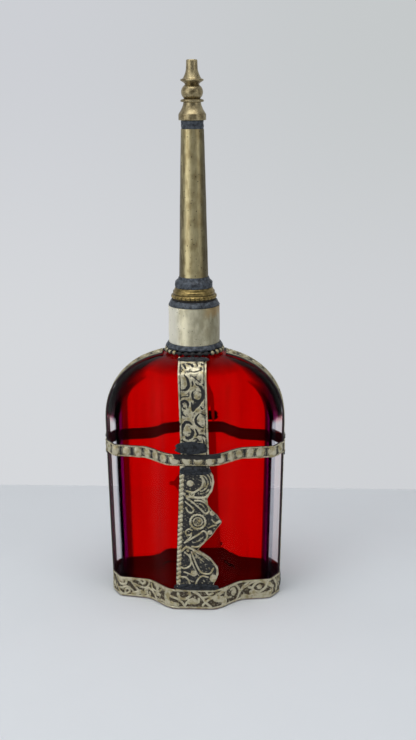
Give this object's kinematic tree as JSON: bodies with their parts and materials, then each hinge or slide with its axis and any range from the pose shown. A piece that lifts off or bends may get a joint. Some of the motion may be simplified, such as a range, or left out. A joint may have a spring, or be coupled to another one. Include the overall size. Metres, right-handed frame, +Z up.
{
  "type": "rosewater sprinkler",
  "caption": "Lobed ruby glass flask in soldered embossed straps, with a tall tapered spout that unscrews from its neck to fill it and a pierced tip to sprinkle from.",
  "frame": {"origin": "middle of the flask's foot, on the surface it stands on", "axes": "+Z up along the spout, +X across the flask's width, -Y towards the front plaque"},
  "size_m": [0.0916, 0.0576, 0.267],
  "materials": {
    "ruby_glass": "polished, ruby red",
    "nickel_silver": "embossed and patinated nickel silver",
    "aged_brass": "aged, satin",
    "ring_brass": "aged, satin",
    "solder": "dark, blackened solder",
    "plaster": "matt plaster",
    "washer_leather": "oiled leather"
  },
  "bodies": {
    "bottle": {"glass_bottle": "ruby_glass", "base_band": "nickel_silver", "belt_front": "nickel_silver", "belt_back": "nickel_silver", "front_strap": "nickel_silver", "front_plaque": "nickel_silver", "back_strap": "nickel_silver", "back_plaque": "nickel_silver", "left_strap_upper": "nickel_silver", "left_strap_lower": "nickel_silver", "right_strap_upper": "nickel_silver", "right_strap_lower": "nickel_silver", "neck_bead_ring": "nickel_silver", "neck_solder": "solder", "strap_solder": "solder", "belt_solder": "solder", "base_solder": "solder", "neck_packing": "plaster", "neck_sleeve": "nickel_silver", "crown_plate": "nickel_silver", "crown_solder": "solder", "threaded_nipple": "ring_brass"},
    "washer": {"seal_washer": "washer_leather"},
    "spout": {"union_ring": "ring_brass", "ring_solder": "solder", "spout_tube": "aged_brass", "tip_solder": "solder", "sprinkler_tip": "aged_brass"}
  },
  "joints": [
    {"name": "rise", "type": "slide", "parent": "bottle", "child": "washer", "axis": [0, 0, 1], "range_m": [0, 0.006]},
    {"name": "unscrew", "type": "hinge", "parent": "washer", "child": "spout", "pos_m": [0, 0, 0.158], "axis": [0, 0, 1], "range_deg": [0, 1440]}
  ],
  "couplings": [
    {"joint": "unscrew", "follows": "rise", "rad_per_m": 4188.8}
  ]
}
